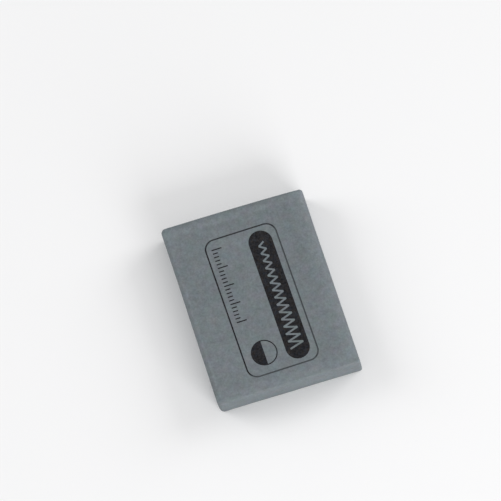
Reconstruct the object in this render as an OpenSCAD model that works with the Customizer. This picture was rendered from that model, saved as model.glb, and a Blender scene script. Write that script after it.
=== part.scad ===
// Kneaded eraser: one slab of soft putty rubber with a stamped print on its top face.
// The block stands on its underside, with Z up and the origin in the middle of its outline.

/* [Block] */
// Width of the block at any one height, along X
block_w = 37.3; // [28:0.1:60]
// Length of the block, along Y
block_l = 48.3; // [32:0.1:90]
// Thickness of the block, along Z
block_h = 9.2; // [5:0.1:20]
// How far the top is pushed over towards -X, so that both long sides lean
lean = 0.8; // [0:0.1:2]
// Radius of the upright corners, seen from above
corner_r = 1.2; // [1:0.1:3]
// Radius of the soft rim round the top face
top_rim_r = 0.8; // [0.2:0.1:0.9]
// Radius of the rim round the underside
base_rim_r = 0.3; // [0.2:0.1:0.9]
// Width of the shoulder where the top face falls away to its rim
shoulder_w = 3; // [1.5:0.1:4]
// How far the top face falls over that shoulder
shoulder_drop = 0.2; // [0.02:0.02:0.4]
// Width of the broader shoulder at +X
broad_shoulder_w = 5; // [2:0.1:7]
// How far the top face falls over the broader shoulder
broad_shoulder_drop = 0.7; // [0.1:0.1:1]

/* [Print] */
// Thickness of the ink film
ink_h = 0.05; // [0.03:0.01:0.2]
// Distance of the print's outline from the long sides of the top face
print_side_margin = 9.2; // [6:0.05:10]
// Distance of the print's outline from the short ends of the top face
print_end_margin = 5.15; // [4.5:0.05:8]
// How far the stamp lies off the middle of the top face, along X
print_shift_x = 0; // [-2:0.05:2]
// How far the stamp lies off the middle of the top face, along Y
print_shift_y = -1.4; // [-2:0.05:2]
// Turn of the stamp against the block, in degrees
print_turn = 0.8; // [-2:0.1:2]
// Width of the outline's line
outline_w = 0.35; // [0.2:0.05:1]
// Radius of the outline's corners
outline_r = 2.8; // [1.5:0.1:4]

/* [Bar] */
// Width of the solid bar with round ends
bar_w = 6.1; // [4:0.1:7]
// Gap between the outline and the bar's long side
bar_side_gap = 1.45; // [0.6:0.05:2.5]
// Gap between the outline and the bar's ends
bar_end_gap = 1.1; // [0.6:0.1:5]
// Width of the bare zigzag line in the bar
zigzag_w = 0.5; // [0.25:0.05:0.7]
// Length of one zig and zag
zigzag_pitch = 2; // [1.6:0.1:4]
// From the bar's edge to the middle of the zigzag's line, where it is widest
zigzag_edge = 1.2; // [1:0.1:1.8]
// Share of the zigzag's width that is left at its far end
zigzag_fade = 0.4; // [0.1:0.05:1]

/* [Tone disc and scale] */
// Gap between the half-filled disc and what stands beside it
disc_gap = 2; // [0.8:0.1:2.2]
// Width of the disc's fine outline
disc_line = 0.25; // [0.15:0.05:0.6]
// Distance between two ticks of the scale
tick_pitch = 1; // [0.8:0.1:3]
// Width of a tick
tick_w = 0.28; // [0.15:0.01:0.5]
// Length of a short tick
tick_l = 1.3; // [0.6:0.1:2]
// How much longer the tick is at every fifth step
tick_long = 1.3; // [0.4:0.1:2]
// Gap between the outline's long side and the scale
tick_gap = 1.3; // [0.5:0.1:2]
// Gap between the outline's end and the scale
tick_end_gap = 2.4; // [1.5:0.1:4]

/* [Hidden] */

rim_steps = 6;
shoulder_steps = 4;
rim_fn = 32;
print_fn = 96;
print_w = block_w - 2 * print_side_margin;
print_l = block_l - 2 * print_end_margin;
field_w = print_w - 2 * outline_w - bar_side_gap - bar_w;
field_x = (field_w - print_w) / 2 + outline_w;
bar_x = print_w / 2 - outline_w - bar_side_gap - bar_w / 2;
bar_l = print_l - 2 * (outline_w + bar_end_gap);
disc_d = field_w - 2 * disc_gap;
disc_y = -print_l / 2 + outline_w + disc_gap + disc_d / 2;
tick_group = 5;
tick_x = -print_w / 2 + outline_w + tick_gap;
tick_top = print_l / 2 - outline_w - tick_end_gap;
tick_room = tick_top - (disc_y + disc_d / 2 + disc_gap);
tick_n = tick_group * floor(tick_room / tick_pitch / tick_group);
zigzag_l = bar_l - bar_w;
zigzag_n = floor(2 * zigzag_l / zigzag_pitch);
zigzag_reach = bar_w / 2 - zigzag_edge;

// Quarter round from angle a0 to a1, as [radius from the axis, height]
function rim_arc(r, edge, z, a0, a1) =
    [for (i = [0 : rim_steps])
        let (a = a0 + (a1 - a0) * i / rim_steps)
        [edge + r * (cos(a) - 1), z + r * sin(a)]];

// Section of an upright corner, from its axis outwards and up
function corner_section(top) = concat(
    [[0, 0]],
    rim_arc(base_rim_r, corner_r, base_rim_r, -90, 0),
    rim_arc(top_rim_r, corner_r, top - top_rim_r, 0, 90),
    [[0, top]]);

// How far in from the edge the shoulder has come at angle a of its quarter round
function shoulder_inset(w, a) = corner_r + (w - corner_r) * (1 - cos(a));

// Bend i of the zigzag, which narrows as it runs up the bar
function zigzag_bend(i) =
    let (reach = zigzag_reach * (1 - (1 - zigzag_fade) * i / zigzag_n))
    [(i % 2 == 0 ? -1 : 1) * reach, (i - zigzag_n / 2) * zigzag_pitch / 2];

// Half the zigzag line's width, square to the stroke that starts at bend i, towards +X
function zigzag_half(i) =
    let (run = zigzag_bend(i + 1) - zigzag_bend(i))
    [run[1], -run[0]] * zigzag_w / 2 / norm(run);

// Half the line's width at bend i, along X
function zigzag_half_x(i) =
    zigzag_w * norm([2 * zigzag_bend(i)[0], zigzag_pitch / 2]) / zigzag_pitch;

// Edge of the line at +X (side 1) or -X (side -1): cut off outside each bend, sharp inside it
function zigzag_side(side) = [
    for (i = [0 : zigzag_n])
        let (
            bend = zigzag_bend(i),
            before = bend + side * zigzag_half(i - 1),
            after = bend + side * zigzag_half(i),
            inside = bend + [side * zigzag_half_x(i), 0],
            is_outside = (i % 2 == 1) == (side == 1))
        each i == 0 ? [after]
            : i == zigzag_n ? [before]
            : is_outside ? [before, after]
            : [inside]];

module rounded_plate(w, l, r) {
    square([w, l - 2 * r], center = true);
    square([w - 2 * r, l], center = true);
    for (x = [-1, 1], y = [-1, 1])
        translate([x * (w / 2 - r), y * (l / 2 - r)])
            circle(r = r, $fn = print_fn);
}

module round_ended_plate(w, l) {
    square([w, l - w], center = true);
    for (y = [-1, 1])
        translate([0, y * (l - w) / 2])
            circle(d = w, $fn = print_fn);
}

module outline() {
    difference() {
        rounded_plate(print_w, print_l, outline_r);
        rounded_plate(print_w - 2 * outline_w, print_l - 2 * outline_w, outline_r - outline_w);
    }
}

// Line that stays bare in the bar, drawn up its right edge and back down its left one
module zigzag() {
    right = zigzag_side(1);
    left = zigzag_side(-1);
    polygon([each right, for (i = [len(left) - 1 : -1 : 0]) left[i]]);
}

// Solid bar with round ends
module bar() {
    translate([bar_x, 0])
        difference() {
            round_ended_plate(bar_w, bar_l);
            zigzag();
        }
}

// Ring with one half filled
module tone_disc() {
    translate([field_x, disc_y])
        difference() {
            circle(d = disc_d, $fn = print_fn);
            intersection() {
                circle(d = disc_d - 2 * disc_line, $fn = print_fn);
                translate([0, -disc_d / 2])
                    square([disc_d, disc_d]);
            }
        }
}

// Row of ticks along the outline's long side, with a longer one at every fifth
module tick_scale() {
    for (i = [0 : tick_n])
        translate([tick_x, tick_top - i * tick_pitch - tick_w / 2])
            square([tick_l + (i % tick_group == 0 ? tick_long : 0), tick_w]);
}

// Corner that leans over towards -X between its rims, x and y say which one
module corner_post(x, y) {
    top = block_h - (x > 0 ? broad_shoulder_drop : shoulder_drop);
    slope = lean / (top - top_rim_r - base_rim_r);
    shift = lean / 2 + slope * base_rim_r;
    translate([x * (block_w / 2 - corner_r), y * (block_l / 2 - corner_r)])
        multmatrix([[1, 0, -slope, shift], [0, 1, 0, 0], [0, 0, 1, 0]])
            rotate_extrude($fn = rim_fn)
                polygon(corner_section(top));
}

// Half of the crown of the top face: flat in the middle, falling away over its shoulders
module half_crown(side, w, drop) {
    for (i = [1 : shoulder_steps]) {
        a = 90 * i / shoulder_steps;
        reach = block_w / 2 - shoulder_inset(w, a);
        span = block_l - 2 * shoulder_inset(shoulder_w, a);
        translate([side * reach / 2 - lean / 2, 0])
            linear_extrude(block_h - drop * (1 - sin(a)))
                square([reach, span], center = true);
    }
}

// Slab of putty rubber, cut from a strip: soft rims, both long sides leaning, flat underside
module eraser_block() {
    color([0.46, 0.485, 0.5])
        hull() {
            for (x = [-1, 1], y = [-1, 1])
                corner_post(x, y);
            half_crown(-1, shoulder_w, shoulder_drop);
            half_crown(1, broad_shoulder_w, broad_shoulder_drop);
        }
}

// Ink film that lies on the flat of the top face
module ink_print() {
    color([0.15, 0.145, 0.15])
        translate([print_shift_x - lean / 2, print_shift_y, block_h])
            rotate(print_turn)
                linear_extrude(ink_h) {
                    outline();
                    bar();
                    tone_disc();
                    tick_scale();
                }
}

eraser_block();
ink_print();
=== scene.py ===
import math
import random
import bmesh
import bpy
import numpy as np
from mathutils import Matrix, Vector, noise
from mathutils.bvhtree import BVHTree


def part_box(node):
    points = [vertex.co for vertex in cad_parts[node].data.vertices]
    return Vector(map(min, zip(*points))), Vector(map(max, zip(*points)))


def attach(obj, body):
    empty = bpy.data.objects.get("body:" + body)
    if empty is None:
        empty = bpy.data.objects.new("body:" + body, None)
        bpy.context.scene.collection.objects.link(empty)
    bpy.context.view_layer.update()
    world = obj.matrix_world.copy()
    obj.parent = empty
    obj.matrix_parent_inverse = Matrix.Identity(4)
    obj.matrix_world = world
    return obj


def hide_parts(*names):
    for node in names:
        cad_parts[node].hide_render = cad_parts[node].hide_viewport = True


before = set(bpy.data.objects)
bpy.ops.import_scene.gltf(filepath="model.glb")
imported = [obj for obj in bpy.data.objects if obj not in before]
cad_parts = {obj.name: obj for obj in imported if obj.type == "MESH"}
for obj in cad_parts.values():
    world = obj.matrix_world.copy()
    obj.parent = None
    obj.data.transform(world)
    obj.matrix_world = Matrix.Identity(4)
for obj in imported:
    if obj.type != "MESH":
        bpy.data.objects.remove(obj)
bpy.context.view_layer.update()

mm = 0.001


def wayTo(azimuth, elevation):
    # way from the slab to what stands this many degrees round from the front and up
    a, e = math.radians(azimuth), math.radians(elevation)
    return Vector((math.sin(a) * math.cos(e), -math.cos(a) * math.cos(e), math.sin(e)))


# camera, above the slab and a little in front of it
cameraSettings = dict(
    lens=359.3,                     # long lens, in mm
    sensor=36.0,
    azimuth=-17.7,
    elevation=71.75,
    distance=1.2658,
    aim=(1.82 * mm, 14.72 * mm, 0.0),
    farthest=10.0)                  # nothing is drawn past this distance

cam = bpy.data.objects.new("camera", bpy.data.cameras.new("camera"))
bpy.context.collection.objects.link(cam)
cam.data.lens = cameraSettings["lens"]
cam.data.sensor_width = cameraSettings["sensor"]
cam.data.clip_end = cameraSettings["farthest"]
back = wayTo(cameraSettings["azimuth"], cameraSettings["elevation"])
cam.rotation_mode = "QUATERNION"
cam.location = Vector(cameraSettings["aim"]) + back * cameraSettings["distance"]
cam.rotation_quaternion = (-back).to_track_quat("-Z", "Y")
bpy.context.scene.camera = cam
print("camera set")


# the slab of putty rubber
slab = dict(
    cell=0.36 * mm,                 # spacing of the mesh's points on the flats
    edgeCell=0.12 * mm,             # and along the edges
    edgeBand=1.9 * mm,
    lean=0.8 * mm,                  # how far the top is pushed over to the left
    corner=dict(backLeft=1.3 * mm, backRight=0.9 * mm, frontLeft=1.4 * mm, frontRight=0.9 * mm),
    rimTop=dict(left=1.1 * mm, right=2.0 * mm, front=0.4 * mm, back=0.8 * mm),
    rimTaper=0.4,                   # how fast a rim may grow wider than the corner that it runs into
    rimBase=0.3 * mm,
    shoulder=dict(left=2.4 * mm, right=5.0 * mm, front=3.2 * mm, back=2.2 * mm),
    fall=dict(left=0.08 * mm, right=0.34 * mm, front=0.22 * mm, back=0.14 * mm),
    swell=0.06 * mm,                # how far the sides draw in at top and bottom
    wave=0.08 * mm,                 # how far the edges wander inwards
    waveLength=13.0 * mm,
    waveStretch=(1.0, 1.0, 0.35),   # the wander changes slowly up a side
    waveShift=(3.1, 7.7, 1.9),
    edgeFade=3.0 * mm,              # swell and wave die out this far in from the edge
    frontFoot=dict(left=0.25 * mm, right=0.12 * mm), # how far the foot of the front end is cut back
    backCut=0.27 * mm,              # how far the back end is cut back at its right
    # soft lumps of three sizes: depth, length and shift
    lumps=((0.07 * mm, 15.0 * mm, (0.0, 2.2, 0.0)),
           (0.03 * mm, 4.0 * mm, (5.3, 2.2, 1.7)),
           (0.008 * mm, 1.1 * mm, (10.6, 2.2, 3.4))),
    cutDepth=0.012 * mm,            # blade marks that run up the short ends
    cutSpacing=0.28 * mm,
    cutStretch=(1.0, 0.2, 0.06),
    cutShift=(9.0, 4.0, 2.0),
    dents=46,                       # shallow ones, as putty rubber picks up when handled
    dentSize=(0.35 * mm, 1.1 * mm),
    dentDepth=(0.015 * mm, 0.06 * mm),
    dentEdge=2.0,                   # how steeply a dent ends
    seed=7)

tiny = 1e-12                        # keeps a division by nothing from failing
onLevel = 1e-9                      # a point this near to the top or underside lies on it


def stepsAlong(low, high):
    # positions along one axis, close together at both ends
    band = slab["edgeBand"]
    fine = round(band / slab["edgeCell"])
    coarse = max(1, round((high - low - 2 * band) / slab["cell"]))
    start = np.linspace(low, low + band, fine + 1)
    inner = np.linspace(low + band, high - band, coarse + 1)
    end = np.linspace(high - band, high, fine + 1)
    return np.concatenate([start[:-1], inner, end[1:]])


def boxLattice(xs, ys, zs):
    # closed quad mesh over the six sides of a box, as places and faces
    index = {}
    places = []
    faces = []
    nx, ny, nz = len(xs) - 1, len(ys) - 1, len(zs) - 1

    def at(i, j, k):
        key = (i, j, k)
        if key not in index:
            index[key] = len(places)
            places.append((xs[i], ys[j], zs[k]))
        return index[key]

    for i in range(nx):
        for j in range(ny):
            faces.append((at(i, j, nz), at(i + 1, j, nz), at(i + 1, j + 1, nz), at(i, j + 1, nz)))
            faces.append((at(i, j, 0), at(i, j + 1, 0), at(i + 1, j + 1, 0), at(i + 1, j, 0)))
    for i in range(nx):
        for k in range(nz):
            faces.append((at(i, 0, k), at(i + 1, 0, k), at(i + 1, 0, k + 1), at(i, 0, k + 1)))
            faces.append((at(i, ny, k), at(i, ny, k + 1), at(i + 1, ny, k + 1), at(i + 1, ny, k)))
    for j in range(ny):
        for k in range(nz):
            faces.append((at(0, j, k), at(0, j, k + 1), at(0, j + 1, k + 1), at(0, j + 1, k)))
            faces.append((at(nx, j, k), at(nx, j + 1, k), at(nx, j + 1, k + 1), at(nx, j, k + 1)))
    return np.array(places), faces


def noiseAt(points, length, shift):
    # smooth noise, about 0 to 1, one value for each point
    shift = Vector(shift)
    return 0.5 + 0.5 * np.array([noise.noise(Vector(p) / length + shift) for p in points])


def roundCorners(x, y, half):
    # draws the square at each upright corner in to a quarter disc
    c = slab["corner"]
    radius = np.where(y > 0, np.where(x < 0, c["backLeft"], c["backRight"]),
                      np.where(x < 0, c["frontLeft"], c["frontRight"]))
    sideX, sideY = np.where(x < 0, -1.0, 1.0), np.where(y < 0, -1.0, 1.0)
    u = np.abs(x) - (half[0] - radius)
    v = np.abs(y) - (half[1] - radius)
    inCorner = (u > 0) & (v > 0)
    reach = np.maximum(u, v)
    squeeze = np.where(inCorner, reach / np.maximum(np.hypot(u, v), tiny), 1.0)
    u2, v2 = u * squeeze, v * squeeze
    # way out of the slab, and how far in from its side each point lies
    outX = np.where(inCorner, u2 / np.maximum(reach, tiny), (u >= v).astype(float)) * sideX
    outY = np.where(inCorner, v2 / np.maximum(reach, tiny), (u < v).astype(float)) * sideY
    inset = -np.where(inCorner, reach - radius, np.maximum(np.abs(x) - half[0], np.abs(y) - half[1]))
    # a rim has as much room as the corner's radius, and more of it away from the corner
    room = radius + slab["rimTaper"] * np.maximum(-np.minimum(u, v), 0.0)
    x = sideX * np.where(inCorner, half[0] - radius + u2, np.abs(x))
    y = sideY * np.where(inCorner, half[1] - radius + v2, np.abs(y))
    return x, y, outX, outY, inset, room


def rimRadius(x, y, outX, outY, room):
    # each side has its own rim round the top, and they blend at the corners
    rim = slab["rimTop"]
    alongX = np.minimum(np.where(x < 0, rim["left"], rim["right"]), room)
    alongY = np.minimum(np.where(y < 0, rim["front"], rim["back"]), room)
    return outX ** 2 * alongX + outY ** 2 * alongY


def roundRim(z, inset, radius, edge, up):
    # quarter round where the sides meet the face at height edge, as a push outwards and a lift
    depth = np.abs(edge - z)
    onFace = (depth < onLevel) & (inset < radius)
    onSide = (depth >= onLevel) & (depth < radius)
    faceTurn = np.arctan(1.0 - inset / radius)
    sideTurn = np.arctan(1.0 - depth / radius)
    push = np.where(onFace, inset - radius * (1 - np.sin(faceTurn)), 0.0)
    push = np.where(onSide, -radius * (1 - np.cos(sideTurn)), push)
    lift = np.where(onFace, -up * radius * (1 - np.cos(faceTurn)), 0.0)
    lift = np.where(onSide, edge - up * radius * (1 - np.sin(sideTurn)) - z, lift)
    return push, lift


def shoulderFall(x, y, half):
    # how far the top face has fallen away towards its edges
    fall = np.zeros(len(x))
    gaps = dict(left=x + half[0], right=half[0] - x, front=y + half[1], back=half[1] - y)
    for side, gap in gaps.items():
        fall += slab["fall"][side] * np.clip(1.0 - gap / slab["shoulder"][side], 0.0, 1.0) ** 2
    return fall


def sideDraw(x, y, z, inset, height):
    # how far the sides draw in: they swell at half height and wander a little along the edges
    here = np.stack([x, y, z], axis=1)
    wander = noiseAt(here * slab["waveStretch"], slab["waveLength"], slab["waveShift"])
    draw = slab["swell"] * (2 * z / height - 1) ** 2 + slab["wave"] * np.clip(wander, 0, 1)
    return draw * np.clip(1.0 - inset / slab["edgeFade"], 0.0, 1.0) ** 2


def cutEnds(x, y, z, half, height):
    # both ends were cut a little out of square
    foot = slab["frontFoot"]
    across = np.clip(x / (2 * half[0]) + 0.5, 0.0, 1.0)
    atFront = (foot["left"] + (foot["right"] - foot["left"]) * across) * (1 - z / height)
    atBack = slab["backCut"] * across ** 3
    return y + atFront * np.clip(-y / half[1], 0.0, 1.0) - atBack * np.clip(y / half[1], 0.0, 1.0)


def leanOver(x, z, height):
    # the top is pushed over to the left, and the foot as far to the right
    rise = (z - slab["rimBase"]) / (height - slab["rimTop"]["left"] - slab["rimBase"])
    return x + slab["lean"] * (0.5 - np.clip(rise, 0.0, 1.0))


def shapeSlab(places, low, high):
    # turns the plain box into the slab, worked out from the middle of its underside
    half = ((high - low)[:2] - (slab["lean"], 0.0)) / 2
    height = high[2] - low[2]
    middle = np.append((high + low)[:2] / 2, low[2])
    x, y, z = (places - middle).T
    x, y, outX, outY, inset, room = roundCorners(x, y, half)
    topPush, topLift = roundRim(z, inset, rimRadius(x, y, outX, outY, room), height, 1.0)
    basePush, baseLift = roundRim(z, inset, slab["rimBase"], 0.0, -1.0)
    push = topPush + basePush
    x, y, z = x + outX * push, y + outY * push, z + topLift + baseLift
    z = z * (1.0 - shoulderFall(x, y, half) / height)
    draw = sideDraw(x, y, z, inset, height)
    x, y = x - outX * draw, y - outY * draw
    y = cutEnds(x, y, z, half, height)
    x = leanOver(x, z, height)
    return np.stack([x, y, z], axis=1) + middle


def vertexNormals(mesh):
    out = np.empty(len(mesh.vertices) * 3)
    mesh.vertex_normals.foreach_get("vector", out)
    return out.reshape(-1, 3)


def wearSlab(points, normals):
    # lumps, blade marks and dents are all pressed inwards, so that the slab keeps inside its own size
    push = np.zeros(len(points))
    for depth, length, shift in slab["lumps"]:
        push += depth * noiseAt(points, length, shift)
    onEnd = np.clip(np.abs(normals[:, 1]) * 2 - 1, 0, 1) # 1 on the short ends, 0 on top and long sides
    marks = noiseAt(points * slab["cutStretch"], slab["cutSpacing"], slab["cutShift"])
    push += onEnd * slab["cutDepth"] * marks
    rng = random.Random(slab["seed"])
    for _ in range(slab["dents"]):
        centre = points[rng.randrange(len(points))]
        size = rng.uniform(*slab["dentSize"])
        depth = rng.uniform(*slab["dentDepth"])
        away = np.linalg.norm(points - centre, axis=1) / size
        push += depth * np.exp(-away ** 2 * slab["dentEdge"])
    return points - normals * push[:, None]


def buildSlab():
    low, high = (np.array(c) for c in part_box("eraser_block"))
    room = np.array([slab["lean"] / 2, 0.0, 0.0]) # left free for the lean at both long sides
    places, faces = boxLattice(*(stepsAlong(a, b) for a, b in zip(low + room, high - room)))
    points = shapeSlab(places, low, high)
    mesh = bpy.data.meshes.new("putty_slab")
    mesh.from_pydata([tuple(p) for p in points], [], faces)
    mesh.update()
    points = wearSlab(points, vertexNormals(mesh))
    # back to the slab's own size
    least, most = points.min(axis=0), points.max(axis=0)
    points = low + (points - least) / (most - least) * (high - low)
    mesh.vertices.foreach_set("co", points.ravel())
    mesh.shade_smooth()
    mesh.update()
    piece = bpy.data.objects.new("putty_slab", mesh)
    bpy.context.collection.objects.link(piece)
    print("slab built,", len(faces), "faces")
    return piece


# the stamped print
film = dict(
    weld=0.0005 * mm,               # corners this near to each other are one
    cell=0.5 * mm,                  # the film is cut this fine so that it follows the slab
    near=0.01 * mm,                 # a corner this near to a cut takes the cut through itself
    thickness=0.03 * mm,
    sunk=0.01 * mm,
    dropFrom=5.0 * mm,              # height above its place from which the film is laid down
    sharpAngle=30)                  # degrees, so that the rims stay crisp and the rest is smooth


def cutFine(made, low, high):
    # cuts across the film along X, then along Y
    for axis, normal in ((0, Vector((1, 0, 0))), (1, Vector((0, 1, 0)))):
        count = math.ceil((high[axis] - low[axis]) / film["cell"])
        for i in range(1, count):
            place = Vector(low)
            place[axis] = low[axis] + (high[axis] - low[axis]) * i / count
            parts = made.verts[:] + made.edges[:] + made.faces[:]
            bmesh.ops.bisect_plane(made, geom=parts, plane_co=place, plane_no=normal, dist=film["near"])
    bmesh.ops.dissolve_degenerate(made, dist=film["near"] / 2, edges=made.edges)


def layDown(made, low, high, slabPiece):
    # each point of the film drops straight down on to the slab
    tree = BVHTree.FromObject(slabPiece, bpy.context.evaluated_depsgraph_get())
    for v in made.verts:
        start = Vector((v.co.x, v.co.y, high[2] + film["dropFrom"]))
        hit = tree.ray_cast(start, Vector((0, 0, -1)))[0]
        share = (v.co.z - low[2]) / (high[2] - low[2])
        v.co.z = hit.z - film["sunk"] + share * (film["thickness"] + film["sunk"])


def buildPrint(slabPiece):
    low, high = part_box("ink_print")
    made = bmesh.new()
    made.from_mesh(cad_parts["ink_print"].data)
    bmesh.ops.remove_doubles(made, verts=made.verts, dist=film["weld"])
    cutFine(made, low, high)
    layDown(made, low, high, slabPiece)
    mesh = bpy.data.meshes.new("stamped_print")
    made.to_mesh(mesh)
    made.free()
    mesh.shade_smooth()
    mesh.set_sharp_from_angle(angle=math.radians(film["sharpAngle"]))
    piece = bpy.data.objects.new("stamped_print", mesh)
    bpy.context.collection.objects.link(piece)
    print("print built,", len(mesh.polygons), "faces")
    return piece


slabPiece = buildSlab()
printPiece = buildPrint(slabPiece)

for piece, node in ((slabPiece, "eraser_block"), (printPiece, "ink_print")):
    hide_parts(node)
    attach(piece, "root")


# finishes

noiseSpan = (0.3, 0.7)              # a noise mostly keeps between these
toneSpan = (0.28, 0.72)             # and nearly always between these


class Nodes:
    # short way to add and join shader nodes
    def __init__(self, name):
        self.material = bpy.data.materials.new(name)
        self.material.use_nodes = True
        self.tree = self.material.node_tree
        self.shader = self.tree.nodes["Principled BSDF"]
        self.place = self.add("ShaderNodeTexCoord").outputs["Object"]
        self.x, self.y, self.z = self.add("ShaderNodeSeparateXYZ", {"Vector": self.place}).outputs

    def add(self, kind, inputs=None, **options):
        node = self.tree.nodes.new(kind)
        for name, value in options.items():
            setattr(node, name, value)
        for name, value in (inputs or {}).items():
            self.join(value, node.inputs[name])
        return node

    def join(self, value, socket):
        if isinstance(value, bpy.types.NodeSocket):
            self.tree.links.new(value, socket)
        else:
            socket.default_value = value

    def noise(self, size, detail=2.0, roughness=0.6, shift=(0.0, 0.0, 0.0)):
        place = self.add("ShaderNodeMapping", {"Vector": self.place, "Location": shift}).outputs[0]
        node = self.add("ShaderNodeTexNoise", {
            "Vector": place, "Scale": 1.0 / size, "Detail": detail, "Roughness": roughness})
        return node.outputs["Fac"]

    def fit(self, value, low, high, toLow=0.0, toHigh=1.0, smooth=False):
        node = self.add("ShaderNodeMapRange", {
            "Value": value, "From Min": low, "From Max": high, "To Min": toLow, "To Max": toHigh})
        node.interpolation_type = "SMOOTHSTEP" if smooth else "LINEAR"
        return node.outputs["Result"]

    def swing(self, value, depth):
        # a noise as a change of tone, up and down by depth
        return self.fit(value, *toneSpan, -depth, depth)

    def mix(self, amount, a, b):
        node = self.add("ShaderNodeMix", data_type="RGBA")
        self.join(amount, node.inputs["Factor"])
        self.join(a, node.inputs[6])    # 6 and 7 are the two colours, and output 2 is their mix
        self.join(b, node.inputs[7])
        return node.outputs[2]

    def math(self, operation, a, b):
        node = self.add("ShaderNodeMath", operation=operation)
        self.join(a, node.inputs[0])
        self.join(b, node.inputs[1])
        return node.outputs[0]

    def sum(self, *values):
        total = values[0]
        for value in values[1:]:
            total = self.math("ADD", value, total)
        return total

    def shaded(self, colour, shade):
        return self.add("ShaderNodeHueSaturation", {"Color": colour, "Value": shade}).outputs[0]

    def bump(self, height, distance, under=None):
        node = self.add("ShaderNodeBump", {"Height": height, "Distance": distance, "Strength": 1.0})
        if under:
            self.join(under, node.inputs["Normal"])
        return node.outputs[0]


putty = dict(
    # a blue grey that drifts two ways, each in patches of its own size
    blue=(0.1415, 0.160, 0.190, 1.0),
    sand=(0.1415, 0.166, 0.161, 1.0),
    blueSize=2.0 * mm,
    blueShift=(0.3, 0.7, 0.1),
    green=(0.127, 0.170, 0.1755, 1.0),
    mauve=(0.156, 0.156, 0.1755, 1.0),
    greenSize=2.8 * mm,
    greenShift=(0.9, 0.2, 0.5),
    clouds=9.0 * mm,                # slow drift in tone
    cloudDepth=0.045,
    mottle=1.5 * mm,
    mottleDepth=0.115,
    speckle=0.5 * mm,
    speckleDepth=0.13,
    grain=0.13 * mm,
    grainDepth=0.035,
    sideMottle=1.25,                # how much stronger all this shows on the sides
    topBand=(1.6 * mm, 0.7 * mm),   # depths between which the look of the sides turns into the top's
    # painted highlight: the edges of the top are painted paler, as though they caught the light: where
    # the highlight starts, is full, starts to fade and ends
    edgeHighlightBand=dict(left=(0.2 * mm, 0.6 * mm, 0.8 * mm, 1.35 * mm), right=(-1.0 * mm, 0.0, 1.7 * mm, 5.2 * mm),
             front=(0.0, 0.5 * mm, 1.4 * mm, 3.3 * mm), back=(0.8 * mm, 2.1 * mm, 2.6 * mm, 3.5 * mm)),
    # how much paler the painted edge highlight makes the rubber
    edgeHighlightDepth=0.1,
    edgeHighlightSpan=(0.3, 0.6),             # from here to here in the mottle
    edgeHighlightShare=(0.6, 1.2),            # the painted highlight grows from weak to strong
    # paler and darker spots on the top: the paler ones at the back corners and the front right are
    # painted highlight, the darker ones are a change of tone
    paleAndDarkSpots=(
        dict(at=(-13.5 * mm, 7.0 * mm), reach=8.0 * mm, tone=-0.04),
        dict(at=(-15.5 * mm, 20.5 * mm), reach=4.5 * mm, tone=0.035),
        dict(at=(16.6 * mm, 22.8 * mm), reach=3.4 * mm, tone=0.16),
        dict(at=(16.0 * mm, -22.0 * mm), reach=4.5 * mm, tone=0.08),
        dict(at=(4.0 * mm, -23.3 * mm), reach=6.5 * mm, tone=-0.03)),
    roughSpan=(0.6, 1.4),           # what mottle and grain reach together
    roughness=(0.62, 0.78),
    specular=0.35,
    bumpMottle=0.014 * mm,
    bumpGrain=0.006 * mm)


def fromSideToTop(m, onSide, onTop):
    # one value on the sides and another on the top face
    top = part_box("eraser_block")[1][2]
    start, full = (top - depth for depth in putty["topBand"])
    return m.fit(m.z, start, full, onSide, onTop)


def paintedEdgeHighlight(m):
    # mask for the painted highlight: 1 along the edges of the top face, 0 in its middle and on the
    # sides
    low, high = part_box("eraser_block")
    gaps = dict(
        left=m.math("SUBTRACT", m.x, low[0] + slab["lean"] / 2),
        right=m.math("SUBTRACT", high[0] - slab["lean"], m.x),
        front=m.math("SUBTRACT", m.y, low[1]),
        back=m.math("SUBTRACT", high[1], m.y))
    edgeHighlight = 0.0
    for side, gap in gaps.items():
        start, full, fade, end = putty["edgeHighlightBand"][side]
        rise = m.fit(gap, start, full, smooth=True)
        band = m.math("MULTIPLY", rise, m.fit(gap, fade, end, 1.0, 0.0, smooth=True))
        edgeHighlight = m.math("MAXIMUM", band, edgeHighlight)
    return m.math("MULTIPLY", edgeHighlight, fromSideToTop(m, 0.0, 1.0))


def spotTone(m):
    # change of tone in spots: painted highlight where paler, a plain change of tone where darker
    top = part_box("eraser_block")[1][2]
    tone = 0.0
    for spot in putty["paleAndDarkSpots"]:
        ends = {0: m.place, 1: (*spot["at"], top)}
        away = m.add("ShaderNodeVectorMath", ends, operation="DISTANCE").outputs["Value"]
        tone = m.sum(tone, m.fit(away, 0.0, spot["reach"], spot["tone"], 0.0, smooth=True))
    return tone


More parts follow.
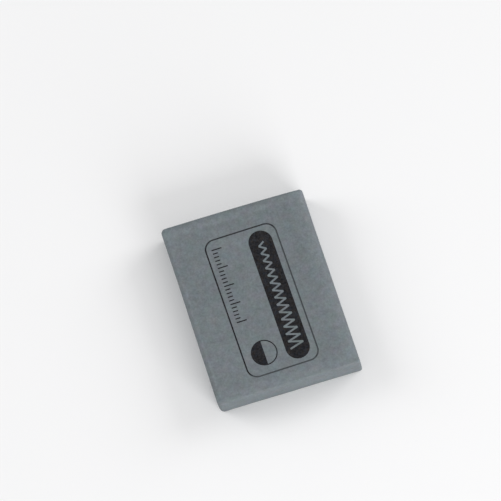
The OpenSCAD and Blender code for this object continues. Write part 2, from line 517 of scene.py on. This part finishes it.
def puttyMaterial():
    m = Nodes("putty rubber")
    clouds = m.noise(putty["clouds"], roughness=0.5)
    blueness = m.noise(putty["blueSize"], detail=3.0, shift=putty["blueShift"])
    greenness = m.noise(putty["greenSize"], detail=3.0, shift=putty["greenShift"])
    mottle = m.noise(putty["mottle"], detail=3.0)
    speckle = m.noise(putty["speckle"])
    grain = m.noise(putty["grain"])
    blueness = m.mix(m.fit(blueness, *noiseSpan), putty["blue"], putty["sand"])
    greenness = m.mix(m.fit(greenness, *noiseSpan), putty["green"], putty["mauve"])
    colour = m.mix(0.5, blueness, greenness) # half of each
    patches = m.sum(
        m.swing(clouds, putty["cloudDepth"]),
        m.swing(mottle, putty["mottleDepth"]),
        m.swing(speckle, putty["speckleDepth"]),
        m.swing(grain, putty["grainDepth"]))
    patches = m.math("MULTIPLY", patches, fromSideToTop(m, putty["sideMottle"], 1.0))
    # painted highlight along the edges of the top, weaker where the mottling is dark
    edgeHighlight = m.math("MULTIPLY", paintedEdgeHighlight(m), m.fit(mottle, *putty["edgeHighlightSpan"], *putty["edgeHighlightShare"]))
    # the tone: mottling, the spots (paler ones are painted highlight) and the painted edge highlight
    shade = m.sum(1.0, patches, spotTone(m), m.math("MULTIPLY", edgeHighlight, putty["edgeHighlightDepth"]))
    m.join(m.shaded(colour, shade), m.shader.inputs["Base Color"])
    rough = m.fit(m.sum(mottle, grain), *putty["roughSpan"], *putty["roughness"])
    m.join(rough, m.shader.inputs["Roughness"])
    coarse = m.bump(mottle, putty["bumpMottle"])
    m.join(m.bump(grain, putty["bumpGrain"], coarse), m.shader.inputs["Normal"])
    m.shader.inputs["Specular IOR Level"].default_value = putty["specular"]
    return m.material


ink = dict(
    blueBlack=(0.0142, 0.0169, 0.0225, 1.0),
    brownBlack=(0.0202, 0.0175, 0.0160, 1.0),
    tint=0.9 * mm,
    patch=2.2 * mm,
    patchDepth=0.3,
    speckle=0.42 * mm,
    speckleDepth=0.5,
    speckleShift=(0.4, 0.1, 0.8),
    grain=0.12 * mm,
    bare=(0.13, 0.15, 0.16, 1.0),   # the rubber, where it shows through
    thinPatch=0.4,                  # how much the patches help the grain to thin the ink
    thinSpan=(0.90, 0.97),          # what the two together reach in the thin places
    thinDepth=0.5,
    faintBand=(0.9 * mm, 1.1 * mm), # the outer line took less ink on three sides
    faint=dict(right=0.32, front=0.34, back=0.14),
    roughness=(0.72, 0.86),
    specular=0.1,
    bumpGrain=0.004 * mm)


def faintOutline(m):
    # how much of the rubber shows through the outer line
    low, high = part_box("ink_print")
    gaps = dict(
        right=m.math("SUBTRACT", high[0], m.x),
        front=m.math("SUBTRACT", m.y, low[1]),
        back=m.math("SUBTRACT", high[1], m.y))
    faint = 0.0
    for side, gap in gaps.items():
        faint = m.math("MAXIMUM", m.fit(gap, *ink["faintBand"], ink["faint"][side], 0.0), faint)
    return faint


def inkMaterial():
    m = Nodes("print ink")
    tint = m.noise(ink["tint"])
    patch = m.noise(ink["patch"], detail=3.0, roughness=0.5)
    speckle = m.noise(ink["speckle"], detail=1.0, shift=ink["speckleShift"])
    grain = m.noise(ink["grain"])
    colour = m.mix(m.fit(tint, *noiseSpan), ink["blueBlack"], ink["brownBlack"])
    shade = m.sum(1.0, m.swing(patch, ink["patchDepth"]), m.swing(speckle, ink["speckleDepth"]))
    colour = m.shaded(colour, shade)
    thin = m.fit(m.sum(grain, m.math("MULTIPLY", patch, ink["thinPatch"])), *ink["thinSpan"])
    colour = m.mix(m.math("MULTIPLY", thin, ink["thinDepth"]), colour, ink["bare"])
    colour = m.mix(faintOutline(m), colour, ink["bare"])
    m.join(colour, m.shader.inputs["Base Color"])
    m.join(m.fit(grain, *noiseSpan, *ink["roughness"]), m.shader.inputs["Roughness"])
    m.join(m.bump(grain, ink["bumpGrain"]), m.shader.inputs["Normal"])
    m.shader.inputs["Specular IOR Level"].default_value = ink["specular"]
    return m.material


slabPiece.data.materials.append(puttyMaterial())
printPiece.data.materials.append(inkMaterial())
print("finishes done")


# plain floor and soft light
stage = dict(
    floorSide=3.0,                  # from its middle to each edge
    floorColour=(0.86, 0.86, 0.865, 1.0),
    floorRoughness=0.9,
    world=(1.0, 1.0, 1.0, 1.0),
    worldStrength=0.5,
    lamps=(
        dict(name="key", azimuth=14.0, elevation=22.0, distance=0.9, size=0.55, power=5.8),
        dict(name="right", azimuth=105.0, elevation=28.0, distance=0.9, size=0.5, power=3.2),
        dict(name="left", azimuth=-120.0, elevation=30.0, distance=0.9, size=0.5, power=3.0)))


def buildFloor():
    s = stage["floorSide"]
    mesh = bpy.data.meshes.new("floor")
    mesh.from_pydata([(-s, -s, 0), (s, -s, 0), (s, s, 0), (-s, s, 0)], [], [(0, 1, 2, 3)])
    paper = bpy.data.materials.new("floor paper")
    paper.use_nodes = True
    shader = paper.node_tree.nodes["Principled BSDF"]
    shader.inputs["Base Color"].default_value = stage["floorColour"]
    shader.inputs["Roughness"].default_value = stage["floorRoughness"]
    mesh.materials.append(paper)
    floor = bpy.data.objects.new("floor", mesh)
    bpy.context.collection.objects.link(floor)
    return floor


def hangLamp(lamp):
    data = bpy.data.lights.new(lamp["name"], "AREA")
    data.size = lamp["size"]
    data.energy = lamp["power"]
    light = bpy.data.objects.new(lamp["name"], data)
    bpy.context.collection.objects.link(light)
    away = wayTo(lamp["azimuth"], lamp["elevation"])
    light.location = away * lamp["distance"]
    light.rotation_mode = "QUATERNION"
    light.rotation_quaternion = away.to_track_quat("Z", "Y")


floor = buildFloor()
for lamp in stage["lamps"]:
    hangLamp(lamp)

world = bpy.data.worlds.new("studio")
world.use_nodes = True
background = world.node_tree.nodes["Background"]
background.inputs["Color"].default_value = stage["world"]
background.inputs["Strength"].default_value = stage["worldStrength"]
bpy.context.scene.world = world
bpy.context.scene.view_settings.view_transform = "Standard"
print("stage set")
